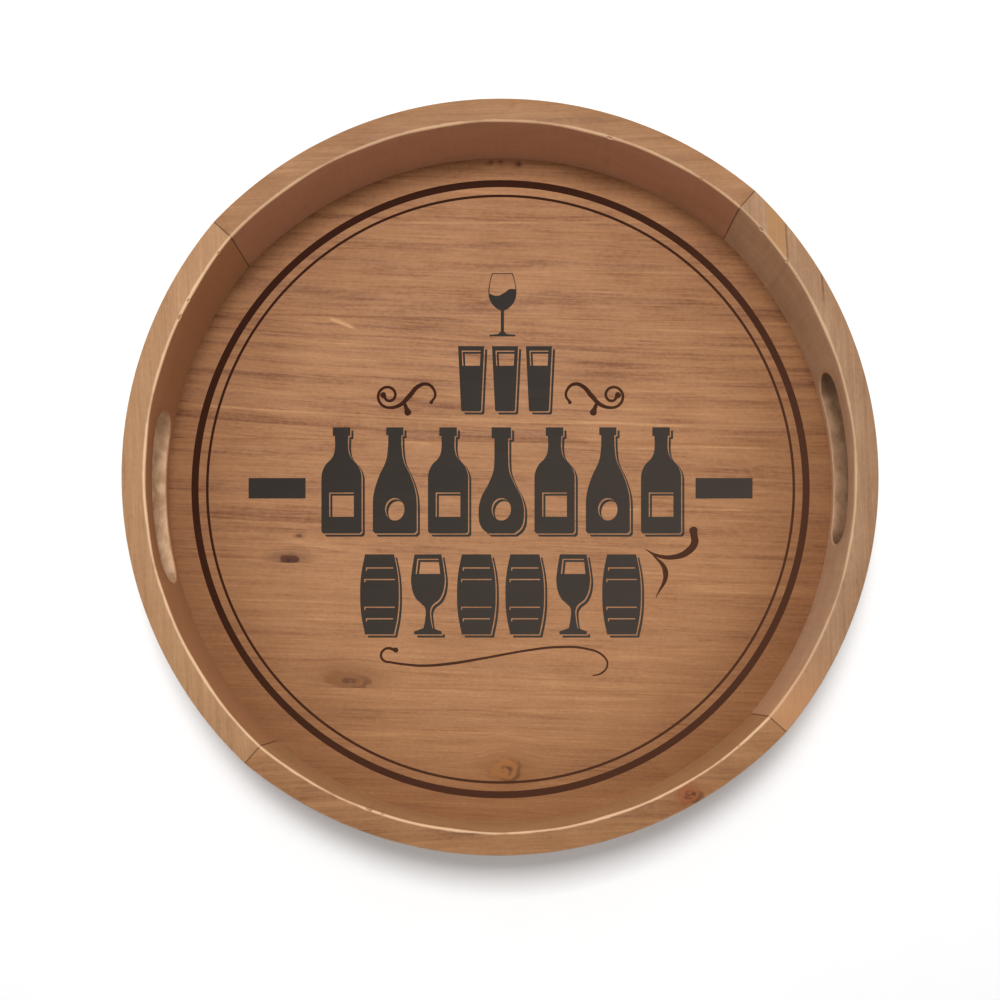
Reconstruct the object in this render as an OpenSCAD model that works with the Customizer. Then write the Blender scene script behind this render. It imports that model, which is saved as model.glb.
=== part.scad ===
// Round serving tray in softwood: a rim of four sawn quarters round a floor of
// edge-glued boards. The tray lies flat, +Z up. The origin is on the table under
// the middle of the tray, and the boards run along X.

/* [Rim] */
// Outer diameter, measured across the middles of two opposite quarters
rim_d = 380; // [340:2:420]
// Thickness of the rim's wall
wall_t = 12; // [11:0.5:16]
// Height of the rim
rim_h = 48; // [42:1:60]
// How far behind the tray's centre each quarter's arc is struck from
arc_back = 8.9; // [4:0.1:12]
// Turn of the rim's joints from the diagonals of the floor
rim_turn = 3.3; // [-10:0.1:10]
// Radius of the eased edges of the rim
edge_ease = 1.5; // [0.5:0.25:2.5]

/* [Finger slots] */
// Length of a finger slot from end to end
slot_l = 89; // [70:1:100]
// Height of a finger slot
slot_h = 22; // [16:1:24]
// Height of the wood left between the floor and a finger slot
slot_lip = 4; // [2:0.5:6]
// How far a finger slot sits behind the middle of its quarter
slot_back = 3.7; // [0:0.1:8]

/* [Floor] */
// Thickness of the floor boards
floor_t = 6; // [5:0.5:8]
// Height of the recess under the floor
recess_h = 4; // [2:0.5:6]
// How far the floor reaches under the middle of each quarter
rebate_w = 6; // [4:0.5:6.5]
// Width of the boards between the two outer ones
board_w = 66.5; // [60:0.5:75]
// Distance of the seam that lies in front of the tray's centre
seam_y = 40.8; // [34:0.1:50]
// Turn of the boards from the X axis
board_turn = -0.8; // [-3:0.1:3]

/* [Dowels] */
// Diameter of the dowels that pin the rim's joints
dowel_d = 6; // [4:0.5:6]
// Length of a dowel
dowel_l = 30; // [20:1:36]

/* [Brads] */
// Diameter of the brads that hold the floor up in its rebate
brad_d = 1.2; // [1:0.1:1.4]
// Length of a brad
brad_l = 16; // [12:1:20]
// Diameter of a brad's head
brad_head_d = 2.2; // [1.8:0.1:2.4]

/* [Hidden] */
// Angle that one piece of the rim covers
QUARTER = 90;
// Heights of a joint's two dowels, as shares of the wall above the floor
DOWEL_SHARES = [0.33, 0.76];
// Bevel on the ends of a dowel
DOWEL_BEVEL = 0.8;
// Glue room round a dowel
DOWEL_GAP = 0.05;
// Number of brads round the floor
BRADS = 8;
// Thickness of a brad's head
BRAD_HEAD_T = 0.6;
// Room round a brad
BRAD_GAP = 0.02;
// How far a cutting shape runs past the face that it cuts
CUT = 1;
$fn = 96;
RING_FN = 240;
SMALL_FN = 32;

rim_r = rim_d / 2;
arc_r = rim_r + arc_back;
floor_z = recess_h + floor_t;
floor_r = rim_r - wall_t + rebate_w;
slot_z = floor_z + slot_lip + slot_h / 2;

// How far from the tray's centre a quarter's arc of radius r meets the joint
function at_joint(r) =
  let (side = arc_back * sin(QUARTER / 2)) sqrt(r * r - side * side) - side;

// The wall bends away from a straight dowel, so the dowels sit a little inside its middle
dowel_r = at_joint(arc_r - wall_t / 2) - pow(dowel_l / 2, 2) / (2 * arc_r);

// The brads go in halfway across the rebate, where it is narrowest
brad_r = (at_joint(arc_r - wall_t) + floor_r) / 2;

// Seams between the boards, from the front of the tray to the back
seams = [for (i = [-1:2]) i * board_w - seam_y];
board_edges = concat([-rim_r], seams, [rim_r]);

// Section of the rim's wall, with the outer and the top edges eased
module wall_section() {
  inner = arc_r - wall_t;
  translate([inner, 0]) square([wall_t - edge_ease, rim_h - edge_ease]);
  translate([inner, edge_ease]) square([wall_t, rim_h - 2 * edge_ease]);
  translate([inner + edge_ease, 0]) square([wall_t - 2 * edge_ease, rim_h]);
  for (corner = [[inner + edge_ease, rim_h - edge_ease],
                 [arc_r - edge_ease, rim_h - edge_ease],
                 [arc_r - edge_ease, edge_ease]])
    translate(corner) circle(edge_ease, $fn = SMALL_FN);
}

// One quarter of the rim, with its middle on the +X axis
module plain_quarter() {
  intersection() {
    translate([-arc_back, 0, 0]) rotate_extrude($fn = RING_FN) wall_section();
    translate([0, 0, -CUT]) rotate([0, 0, -QUARTER / 2]) cube([rim_d, rim_d, rim_h + 2 * CUT]);
  }
}

// The space that a finger slot takes out of the quarter on the +X axis, moved along it by shift
module slot_space(shift) {
  straight = slot_l - slot_h;
  translate([rim_r - wall_t * 2, shift, slot_z]) {
    translate([0, -straight / 2, -slot_h / 2]) cube([wall_t * 4, straight, slot_h]);
    for (side = [-1, 1])
      translate([0, side * straight / 2, 0])
        rotate([0, 90, 0]) cylinder(d = slot_h, h = wall_t * 4);
  }
}

// The pair of dowels across the joint at the +45 degree end of the +X quarter
module dowel_pair(d, l, bevel) {
  rotate([0, 0, QUARTER / 2])
    for (share = DOWEL_SHARES)
      translate([dowel_r, 0, floor_z + share * (rim_h - floor_z)])
        rotate([90, 0, 0]) dowel(d, l, bevel);
}

// A dowel along Z, centred, with both ends bevelled
module dowel(d, l, bevel) {
  half = l / 2;
  rotate_extrude()
    polygon([[0, -half], [d / 2 - bevel, -half], [d / 2, -half + bevel],
             [d / 2, half - bevel], [d / 2 - bevel, half], [0, half]]);
}

// All the brads, or their holes when gap is more than nothing
module brad_ring(gap) {
  for (i = [0:BRADS - 1])
    rotate([0, 0, rim_turn + (i + 0.5) * 360 / BRADS])
      translate([brad_r, 0, recess_h]) {
        cylinder(d = brad_d + 2 * gap, h = brad_l + gap, $fn = SMALL_FN);
        cylinder(d = brad_head_d + 2 * gap, h = BRAD_HEAD_T, $fn = SMALL_FN);
      }
}

// A finished quarter of the rim; i counts from the right quarter towards the back
module rim_quarter(i, slotted) {
  difference() {
    rotate([0, 0, rim_turn + QUARTER * i]) difference() {
      plain_quarter();
      translate([0, 0, -CUT]) cylinder(r = floor_r, h = floor_z + CUT, $fn = RING_FN);
      // behind the middle is forwards along the right quarter and backwards along the left one
      if (slotted) slot_space(slot_back * cos(QUARTER * i));
      for (turn = [0, -QUARTER])
        rotate([0, 0, turn]) dowel_pair(dowel_d + 2 * DOWEL_GAP, dowel_l + 2 * DOWEL_GAP, 0);
    }
    brad_ring(BRAD_GAP);
  }
}

// One board of the floor; i counts from the front of the tray
module floor_board(i) {
  difference() {
    intersection() {
      translate([0, 0, recess_h]) cylinder(r = floor_r, h = floor_t, $fn = RING_FN);
      rotate([0, 0, board_turn])
        translate([-rim_d, board_edges[i], 0])
          cube([2 * rim_d, board_edges[i + 1] - board_edges[i], rim_h]);
    }
    brad_ring(BRAD_GAP);
  }
}

module rim_right() { color("#b58a66") rim_quarter(0, true); }
module rim_back() { color("#ad815d") rim_quarter(1, false); }
module rim_left() { color("#b9916c") rim_quarter(2, true); }
module rim_front() { color("#9d6e4a") rim_quarter(3, false); }

module floor_board_1() { color("#9c6c46") floor_board(0); }
module floor_board_2() { color("#a17350") floor_board(1); }
module floor_board_3() { color("#a67852") floor_board(2); }
module floor_board_4() { color("#a97c58") floor_board(3); }
module floor_board_5() { color("#ab7d5b") floor_board(4); }

// The dowels of the joint that follows quarter i
module joint_dowels(i) {
  color("#d8bd94") rotate([0, 0, rim_turn + QUARTER * i]) dowel_pair(dowel_d, dowel_l, DOWEL_BEVEL);
}

module dowels_back_right() { joint_dowels(0); }
module dowels_back_left() { joint_dowels(1); }
module dowels_front_left() { joint_dowels(2); }
module dowels_front_right() { joint_dowels(3); }

module floor_brads() { color("#a8a8a6") brad_ring(0); }

rim_right();
rim_back();
rim_left();
rim_front();
floor_board_1();
floor_board_2();
floor_board_3();
floor_board_4();
floor_board_5();
dowels_back_right();
dowels_back_left();
dowels_front_left();
dowels_front_right();
floor_brads();
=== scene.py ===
# %% [markdown]
# # A round serving tray in stained softwood
# The tray is a ring of four sawn quarters round a floor of edge-glued boards, with a
# printed border and rows of bottles, barrels and glasses on the floor. The frame of the
# object is loaded first. Every piece is then modelled in metres around that frame, each
# board gets its own grain, and the last cells set the light and the camera.

# %% Load the frame
import math

import bmesh
import bpy
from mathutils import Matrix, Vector


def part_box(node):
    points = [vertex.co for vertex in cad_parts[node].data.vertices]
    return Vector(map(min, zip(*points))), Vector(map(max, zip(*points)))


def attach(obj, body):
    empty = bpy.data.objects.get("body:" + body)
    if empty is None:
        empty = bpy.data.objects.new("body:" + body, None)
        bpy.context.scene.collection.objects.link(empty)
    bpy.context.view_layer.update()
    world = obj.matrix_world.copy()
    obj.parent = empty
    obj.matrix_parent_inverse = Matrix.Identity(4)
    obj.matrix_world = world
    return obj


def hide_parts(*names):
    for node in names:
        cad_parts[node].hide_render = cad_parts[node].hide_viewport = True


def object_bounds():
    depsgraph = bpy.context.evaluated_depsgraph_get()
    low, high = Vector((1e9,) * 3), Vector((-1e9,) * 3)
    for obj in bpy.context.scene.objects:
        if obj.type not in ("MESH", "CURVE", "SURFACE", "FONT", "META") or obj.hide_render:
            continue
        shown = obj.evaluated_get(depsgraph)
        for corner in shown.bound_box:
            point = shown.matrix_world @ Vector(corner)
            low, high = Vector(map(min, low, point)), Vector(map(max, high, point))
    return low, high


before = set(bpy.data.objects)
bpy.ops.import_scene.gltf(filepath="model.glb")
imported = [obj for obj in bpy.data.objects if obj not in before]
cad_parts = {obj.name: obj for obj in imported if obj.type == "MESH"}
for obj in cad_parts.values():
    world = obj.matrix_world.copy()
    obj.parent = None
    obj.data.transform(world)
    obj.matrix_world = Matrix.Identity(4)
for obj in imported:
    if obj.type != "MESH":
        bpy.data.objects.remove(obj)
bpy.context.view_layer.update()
print("nodes:", ", ".join(sorted(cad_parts)))

# %% [markdown]
# ## Sizes
# Heights and radii that the frame already holds are read from it. The rest are the few
# sizes that a maker would set on the machines: the wall's thickness, the arc of a quarter,
# the router's slot and the radius of the sanded edges. One millimetre is a name here, so
# that sizes read as a maker says them.

# %% The tray's own sizes
MM = 0.001
TRAY_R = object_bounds()[1].x
RIM_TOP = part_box("rim_right")[1].z
FLOOR_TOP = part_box("floor_board_3")[1].z
FLOOR_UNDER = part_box("floor_board_3")[0].z
FLOOR_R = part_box("floor_board_3")[1].x

WALL = 12 * MM
ARC_BACK = 8.9 * MM
ARC_OUT = TRAY_R + ARC_BACK
ARC_IN = ARC_OUT - WALL
REBATE = FLOOR_R - (TRAY_R - WALL)
RIM_TURN = math.radians(3.3)
BOARD_TURN = math.radians(-0.8)
SEAMS = [step * 66.5 * MM - 40.8 * MM for step in (-1, 0, 1, 2)]

SLOT_LONG = 89 * MM
SLOT_HIGH = 22 * MM
SLOT_LIP = 4 * MM
SLOT_MID = FLOOR_TOP + SLOT_LIP + SLOT_HIGH / 2
SLOT_BACK = 3.7 * MM

EDGE_EASE = 1.1 * MM
SLOT_EASE = 1.3 * MM
JOINT_EASE = 0.25 * MM
NEAR = 0.02 * MM
print(f"rim {RIM_TOP / MM:.0f} mm high, floor at {FLOOR_TOP / MM:.0f} mm, rebate {REBATE / MM:.1f} mm")

# %% [markdown]
# ## Working in edit mode from code
# Each operator works on what is selected, so the helpers below do what the hands do: take
# one piece and nothing else, go into edit mode, and pick faces, edges or corners by where
# they are. A cutter is a piece that is subtracted with a Boolean modifier and thrown away, and
# a saw cut is a bisect on a plane, whose new edges are eased at once.

# %% Hands: select, edit, cut
SHARP = math.radians(30)


def take(piece):
    """Makes piece the one selected and active object."""
    bpy.ops.object.select_all(action="DESELECT")
    piece.select_set(True)
    bpy.context.view_layer.objects.active = piece
    return piece


def settle(piece, name=None):
    """Puts the piece's place into its mesh, so that its object sits at the origin."""
    take(piece)
    bpy.ops.object.transform_apply(location=True, rotation=True, scale=True)
    if name:
        piece.name = name
        piece.data.name = name
    return piece


def pick(piece, kind, test):
    """In edit mode, selects the verts, edges or faces that pass the test, and nothing else."""
    mesh = bmesh.from_edit_mesh(piece.data)
    mesh.select_mode = {{"verts": "VERT", "edges": "EDGE", "faces": "FACE"}[kind]}
    for group in (mesh.verts, mesh.edges, mesh.faces):
        for item in group:
            item.select = False
    chosen = [item for item in getattr(mesh, kind) if test(item)]
    for item in chosen:
        item.select_set(True)
    mesh.select_flush_mode()
    bmesh.update_edit_mesh(piece.data)
    return len(chosen)


def edit(piece):
    """Opens the piece in edit mode, with all of it selected."""
    take(piece)
    bpy.ops.object.mode_set(mode="EDIT")
    bpy.ops.mesh.select_all(action="SELECT")


def done():
    """Leaves edit mode."""
    bpy.ops.object.mode_set(mode="OBJECT")


def clean(piece):
    """Merges doubled corners and turns every face outwards."""
    edit(piece)
    bpy.ops.mesh.remove_doubles(threshold=0.001 * MM)
    bpy.ops.mesh.normals_make_consistent(inside=False)
    done()
    return piece


def carve(piece, cutter):
    """Cuts the cutter out of the piece and throws the cutter away."""
    take(piece)
    cut = piece.modifiers.new("cut", "BOOLEAN")
    cut.object, cut.operation, cut.solver = cutter, "DIFFERENCE", "EXACT"
    bpy.ops.object.modifier_apply(modifier=cut.name)
    bpy.data.objects.remove(cutter)
    return piece


def saw(piece, place, normal, ease):
    """In edit mode, saws off what lies ahead of a plane and eases the edges of the cut."""
    bpy.ops.mesh.select_all(action="SELECT")
    bpy.ops.mesh.bisect(plane_co=place, plane_no=normal, use_fill=True, clear_outer=True)
    on_cut = lambda v: abs((v.co - place).dot(normal)) < NEAR / 10
    pick(piece, "edges", lambda edge: all(on_cut(v) for v in edge.verts))
    bpy.ops.mesh.bevel(offset=ease, segments=2, affect="EDGES", clamp_overlap=False)


def smooth(piece):
    """Shades the piece smooth, except over its sharp edges."""
    take(piece)
    bpy.ops.object.shade_smooth_by_angle(angle=SHARP)
    return piece


def count(piece):
    """A line about the piece's size, for the reader."""
    faces = sum(len(face.vertices) - 2 for face in piece.data.polygons)
    print(f"{piece.name}: {faces} triangles")


# %% [markdown]
# ## A quarter of the rim
# The real rim is four pieces of board, sawn to an arc and butted end to end, each with a
# ledge routed under its inner side for the floor. A quarter could be spun from its section
# in one go, but then the finger slot would have to be cut through a curved wall, where a
# neat rounded edge is hard to bevel. So the quarter is first made as a straight plank, which
# is slotted and eased while it is flat, then sliced across, and only then set onto its arc.

# %% The straight plank with its ledge and eased edges
PLANK_LONG = 282 * MM


def straight_plank(name):
    """X runs from the inner face to the outer one, Y along the plank and Z up from the table."""
    bpy.ops.mesh.primitive_plane_add(size=1, rotation=(math.pi / 2, 0, 0))
    plank = settle(bpy.context.active_object, name)
    edit(plank)
    bpy.ops.transform.resize(value=(WALL, 1, RIM_TOP - FLOOR_TOP))
    middle = (WALL / 2, -PLANK_LONG / 2, (RIM_TOP + FLOOR_TOP) / 2)
    bpy.ops.transform.translate(value=middle)
    low = lambda corner: abs(corner.co.z - FLOOR_TOP) < NEAR
    pick(plank, "edges", lambda edge: all(low(v) for v in edge.verts))
    bpy.ops.mesh.subdivide(number_cuts=1)
    pick(plank, "verts", lambda v: low(v) and NEAR < v.co.x < WALL - NEAR)
    bpy.ops.transform.translate(value=(REBATE - WALL / 2, 0, 0))
    pick(plank, "edges", lambda edge: all(low(v) and v.co.x > REBATE - NEAR for v in edge.verts))
    bpy.ops.mesh.extrude_region_move(TRANSFORM_OT_translate={"value": (0, 0, -FLOOR_TOP)})
    at_top = lambda v: v.co.z > RIM_TOP - NEAR
    foot = lambda v: v.co.z < NEAR and v.co.x > WALL - NEAR
    pick(plank, "verts", lambda v: at_top(v) or foot(v))
    bpy.ops.mesh.bevel(offset=EDGE_EASE, segments=5, affect="VERTICES")
    bpy.ops.mesh.select_all(action="SELECT")
    bpy.ops.mesh.extrude_region_move(TRANSFORM_OT_translate={"value": (0, PLANK_LONG, 0)})
    done()
    return clean(plank)


# %% [markdown]
# The slot is what a router leaves: a stretched hole with round ends. A cylinder pulled apart
# at its middle has just that shape. Its two rims are then eased, as a hand would sand them.

# %% The finger slot
def slot_cutter(shift):
    """A cylinder along X, stretched along Y to the slot's length and moved along the plank."""
    bpy.ops.mesh.primitive_cylinder_add(
        vertices=46, radius=SLOT_HIGH / 2, depth=WALL * 3,
        location=(WALL / 2, 0, SLOT_MID), rotation=(0, math.pi / 2, 0))
    cutter = settle(bpy.context.active_object)
    edit(cutter)
    for side in (-1, 1):
        pick(cutter, "verts", lambda v: side * v.co.y > NEAR)
        bpy.ops.transform.translate(value=(0, side * (SLOT_LONG - SLOT_HIGH) / 2, 0))
    done()
    cutter.location.y = shift
    return settle(cutter)


def cut_slot(plank, shift):
    """Cuts the slot through the plank and eases both of its rims."""
    carve(plank, slot_cutter(shift))
    edit(plank)

    def on_slot_rim(edge):
        start, end = (v.co for v in edge.verts)
        for face_x in (0, WALL):
            if abs(start.x - face_x) < NEAR and abs(end.x - face_x) < NEAR:
                return all(
                    abs(p.y - shift) < SLOT_LONG / 2 + NEAR and abs(p.z - SLOT_MID) < SLOT_HIGH / 2 + NEAR
                    for p in (start, end)) and len(edge.link_faces) == 2 and edge.calc_face_angle() > 1
        return False

    pick(plank, "edges", on_slot_rim)
    bpy.ops.mesh.bevel(offset=SLOT_EASE, segments=5, affect="EDGES", clamp_overlap=False)
    done()
    return plank


# %% [markdown]
# Slices across the plank let it follow the arc. The joints between quarters lie on planes
# through the tray's centre, so two bisects trim the ends, and a small bevel leaves the fine
# groove that shows where two pieces of wood meet.

# %% Onto the arc
SLICE = 2.4 * MM
CENTRE = Vector((0, 0, 0))


def set_on_arc(plank, phase):
    """Slices the plank and moves each slice out to the quarter's arc, with its middle on +X."""
    edit(plank)
    slices = int(PLANK_LONG / SLICE / 2)
    for step in range(-slices, slices + 1):
        bpy.ops.mesh.select_all(action="SELECT")
        bpy.ops.mesh.bisect(plane_co=(0, step * SLICE, 0), plane_no=(0, 1, 0))
    done()
    for corner in plank.data.vertices:
        across, along, up = corner.co
        inner = math.sqrt(ARC_IN ** 2 - along ** 2) - ARC_BACK
        outer = math.sqrt(ARC_OUT ** 2 - along ** 2) - ARC_BACK
        corner.co.x = inner + across / WALL * (outer - inner)
        if abs(across - REBATE) < NEAR and up < FLOOR_TOP + NEAR:
            corner.co.x = math.sqrt(FLOOR_R ** 2 - along ** 2)
        if across < EDGE_EASE + NEAR and up > RIM_TOP - EDGE_EASE - NEAR:
            corner.co.x += wander(along / MM, phase) * MM
    return plank


def wander(along, phase):
    """How far hand sanding has moved the inner edge, in mm, at a place along the plank."""
    return 0.16 * math.sin(along / 6.1 + phase) + 0.2 * math.sin(along / 14.7 + phase * 2)


def trim_joints(plank):
    """Cuts both ends on the planes of the joints and eases the edges of the cuts."""
    edit(plank)
    for side in (-1, 1):
        saw(plank, CENTRE, Vector((-1, side, 0)).normalized(), JOINT_EASE)
    done()
    return plank


# %% [markdown]
# A tray like this is sanded fast, and splinters break out of the inner edge. A chip could be a
# dent in the bump of the wood, but it breaks the outline of the edge, so each one is cut away
# by a small jagged lump: a coarse sphere with its corners thrown about.

# %% Chips along the inner edge
def chip(plank, degrees, long, deep, seed):
    """Takes a chip out of the rim's inner top edge, at an angle round the tray."""
    angle = math.radians(degrees)
    bpy.ops.mesh.primitive_ico_sphere_add(subdivisions=2, radius=1)
    splinter = bpy.context.active_object
    edit(splinter)
    bpy.ops.transform.vertex_random(offset=0.26, seed=seed)
    done()
    splinter.scale = (deep, long / 2, deep * 1.4)
    splinter.rotation_euler = (0, math.pi / 5, angle)
    inner = inner_edge(angle)
    splinter.location = (inner * math.cos(angle), inner * math.sin(angle), RIM_TOP - EDGE_EASE * 0.4)
    settle(splinter)
    return carve(plank, splinter)


def inner_edge(angle):
    """How far from the tray's centre the wall's inner face is, at an angle round the tray."""
    off = (angle - RIM_TURN + math.pi / 4) % (math.pi / 2) - math.pi / 4
    side = ARC_BACK * math.sin(off)
    return math.sqrt(ARC_IN ** 2 - side ** 2) - ARC_BACK * math.cos(off)


# %% [markdown]
# All four quarters come off the same jig, and only the two side ones are slotted. So one
# function does all the steps, and a table says what differs: the slot's shift, and where the
# chips are, as (degrees round the tray, length, depth, seed) in mm.

# %% The four quarters
WANDER_PHASE = 1.3
QUARTERS = ["right", "back", "left", "front"]
SLOT_SHIFT = {"right": SLOT_BACK, "left": -SLOT_BACK}
CHIPS = {
    "right": [(43.5, 3.6, 0.9, 3), (37.0, 2.4, 0.7, 4), (34.0, 1.8, 0.6, 14), (-48, 3.0, 0.8, 5)],
    "back": [(56, 3.0, 0.8, 6), (72, 4.0, 0.6, 7), (118, 2.6, 0.6, 15)],
    "left": [(153.5, 3.8, 0.9, 8), (150.5, 2.2, 0.7, 16), (141.5, 2.4, 0.7, 9)],
    "front": [(248.5, 4.0, 1.0, 10), (250.8, 2.2, 0.7, 17), (308, 2.8, 0.8, 11),
              (311.5, 2.2, 0.7, 12)],
}


def make_quarter(index, name):
    """One finished quarter; the right and the left ones are slotted."""
    plank = straight_plank(f"{name}_quarter")
    if name in SLOT_SHIFT:
        cut_slot(plank, SLOT_SHIFT[name])
    set_on_arc(plank, index * WANDER_PHASE)
    trim_joints(plank)
    plank.rotation_euler.z = RIM_TURN + index * math.pi / 2
    settle(plank)
    for degrees, long, deep, seed in CHIPS[name]:
        chip(plank, degrees, long * MM, deep * MM, seed)
    smooth(plank)
    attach(plank, "root")
    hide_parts(f"rim_{name}")
    count(plank)
    return plank


quarters = {name: make_quarter(index, name) for index, name in enumerate(QUARTERS)}

# %% [markdown]
# ## The floor boards
# The floor is one panel of glued boards, sawn to a disc. Each board is that disc, bisected at
# its two seams. Where boards meet, the glue line shows as a hair's breadth of shadow, which
# a very small bevel on both sides gives.

# %% Boards
SEAM_EASE = 0.1 * MM
BOARD_EDGES = [-TRAY_R] + SEAMS + [TRAY_R]


def make_board(number):
    """Board number 1 is the one at the front of the tray."""
    bpy.ops.mesh.primitive_cylinder_add(
        vertices=360, radius=FLOOR_R - NEAR, depth=FLOOR_TOP - FLOOR_UNDER,
        location=(0, 0, (FLOOR_TOP + FLOOR_UNDER) / 2))
    board = settle(bpy.context.active_object, f"board_{number}")
    across = Vector((-math.sin(BOARD_TURN), math.cos(BOARD_TURN), 0))
    edit(board)
    for edge_place, side in ((BOARD_EDGES[number - 1], -1), (BOARD_EDGES[number], 1)):
        if abs(edge_place) < FLOOR_R:
            saw(board, across * edge_place, across * side, SEAM_EASE)
    done()
    smooth(board)
    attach(board, "root")
    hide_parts(f"floor_board_{number}")
    count(board)
    return board


boards = [make_board(number) for number in range(1, 6)]

# %% [markdown]
# ## The print
# The floor is screen-printed in dark brown: a double ring, and inside it rows of solid shapes
# with a thin line dropped below and to the right of each. An ink film could be painted in the
# board's material, but then its edges would blur with the grain and the shapes would be lost
# in the mesh. So each shape is a real film, cut from a flat outline and pressed down to a few
# hundredths of a millimetre. The shapes are drawn here: bottles, barrels, goblets and
# tumblers, and some plain scrolls.

# %% Outlines
PRINT_MIDDLE = (0.3 * MM, 0.4 * MM, 0)
INK_DEEP = 0.02 * MM
INK_PROUD = 0.04 * MM
BLANK = 4 * MM


def new_object(name, data):
    """A new object in the scene for a mesh, a curve, a light or a camera."""
    thing = bpy.data.objects.new(name, data)
    bpy.context.scene.collection.objects.link(thing)
    return thing


def meshed(name, curve):
    """The curve as a clean mesh piece."""
    take(new_object(name, curve))
    bpy.ops.object.convert(target="MESH")
    return clean(bpy.context.active_object)


def outline_blank(name, outlines):
    """A thick blank from closed outlines, where an outline inside another is a hole.

    A point is (x, y), a sharp corner, or (x, y, "round"), which the curve runs smoothly through.
    """
    curve = bpy.data.curves.new(name, "CURVE")
    curve.dimensions, curve.fill_mode = "2D", "BOTH"
    curve.extrude, curve.resolution_u = BLANK / 2, 10
    for points in outlines:
        spline = curve.splines.new("BEZIER")
        spline.use_cyclic_u = True
        spline.bezier_points.add(len(points) - 1)
        for knot, point in zip(spline.bezier_points, points):
            knot.co = (point[0] * MM, point[1] * MM, 0)
            knot.handle_left_type = knot.handle_right_type = "AUTO" if len(point) > 2 else "VECTOR"
    return meshed(name, curve)


def mirrored(half):
    """Closes the right half of an upright shape, bottom to top, with its mirror image."""
    left = [(-point[0],) + tuple(point[1:]) for point in reversed(half) if abs(point[0]) > 1e-6]
    return list(half) + left


def moved(outline, x, y):
    """The same outline at another place."""
    return [(point[0] + x, point[1] + y) + tuple(point[2:]) for point in outline]


def press(blank, name):
    """Presses a blank flat, into a film on the floor."""
    low = min(v.co.z for v in blank.data.vertices)
    high = max(v.co.z for v in blank.data.vertices)
    for corner in blank.data.vertices:
        share = (corner.co.z - low) / (high - low)
        corner.co.z = FLOOR_TOP - INK_DEEP + share * (INK_DEEP + INK_PROUD)
    blank.location = PRINT_MIDDLE
    settle(blank, name)
    smooth(blank)
    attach(blank, "root")
    count(blank)
    return blank


# %% [markdown]
# The drop line is what is left of a copy, moved down and to the right, when a less moved copy
# and the shape itself are cut from it.

# %% Drop lines
DROP_GAP = 0.6 * MM
DROP_LINE = 1.1 * MM


def copy_of(piece, x=0.0, y=0.0, taller=1.0):
    """A copy with its own mesh, moved along the floor and stretched upwards."""
    twin = new_object(piece.name, piece.data.copy())
    twin.location = (x, y, 0)
    twin.scale = (1, 1, taller)
    return settle(twin)


def join(pieces, name):
    """Joins the pieces into the first one."""
    bpy.ops.object.select_all(action="DESELECT")
    for piece in pieces:
        piece.select_set(True)
    bpy.context.view_layer.objects.active = pieces[0]
    bpy.ops.object.join()
    pieces[0].name = name
    return pieces[0]


def with_drop_line(blank):
    """Adds the thin line below and to the right of the blank's shape."""
    reach = DROP_GAP + DROP_LINE
    line = copy_of(blank, reach, -reach)
    carve(line, copy_of(blank, DROP_GAP, -DROP_GAP, taller=1.5))
    carve(line, copy_of(blank, taller=1.5))
    return join([blank, line], blank.name)


# %% [markdown]
# The border is two rings, a broad one and a fine one inside it. A circle that is extruded,
# scaled inwards and extruded upwards gives each one with clean round sides.

# %% The double ring
RINGS = [("print_outer_ring", 162.2, 166.0), ("print_inner_ring", 156.8, 158.2)]


def ring(name, inner, outer):
    """A flat ring: a circle, extruded and scaled in, then extruded up."""
    bpy.ops.mesh.primitive_circle_add(vertices=256, radius=outer * MM)
    piece = settle(bpy.context.active_object, name)
    edit(piece)
    bpy.ops.mesh.extrude_region_move(TRANSFORM_OT_translate={"value": (0, 0, 0)})
    bpy.ops.transform.resize(value=(inner / outer, inner / outer, 1))
    bpy.ops.mesh.select_all(action="SELECT")
    bpy.ops.mesh.extrude_region_move(TRANSFORM_OT_translate={"value": (0, 0, BLANK)})
    done()
    return press(clean(piece), name)


prints = [ring(*sizes) for sizes in RINGS]

# %% [markdown]
# Every picture is the right half of an upright outline, which is then mirrored, with its
# labels, hoops or gaps as holes. The measures are in mm from the middle of the foot. Each is cut
# once, with its drop line, and the rows are copies of it, set at an even pitch.

# %% The rows of shapes
TUMBLER = [(0, 0), (4.9, 0), (5.4, 0.8), (7.0, 35.0), (0, 35.0)]
TUMBLER_GAP = [(0, 24.5), (4.7, 24.5), (5.1, 32.6), (0, 32.6)]

TALL_BOTTLE = [
    (0, 0), (9.8, 0), (10.8, 1.1), (10.8, 29.0), (10.6, 32.0, "round"), (8.6, 36.8, "round"),
    (5.0, 40.8, "round"), (3.7, 44.5, "round"), (3.6, 52.4), (4.7, 52.4), (4.7, 57.0), (0, 57.0)]
SLOPED_BOTTLE = [
    (0, 0), (10.6, 0), (11.8, 1.3), (11.8, 16.0), (11.4, 21.0, "round"), (8.6, 30.5, "round"),
    (4.6, 39.5, "round"), (3.6, 47.0), (3.5, 52.8), (4.6, 52.8), (4.6, 57.0), (0, 57.0)]
FLASK_BOTTLE = [
    (0, 0), (7.0, 0), (10.6, 3.2, "round"), (12.2, 10.0, "round"), (10.9, 19.0, "round"),
    (7.0, 26.5, "round"), (4.3, 33.5, "round"), (3.7, 40.0), (3.7, 51.0), (5.2, 51.0),
    (5.2, 57.0), (0, 57.0)]
LABEL = [(0, 9.0), (6.6, 9.0), (6.6, 22.0), (0, 22.0)]
OVAL_LABEL = [(0, 7.0, "round"), (5.2, 13.0, "round"), (0, 19.0, "round")]

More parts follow.
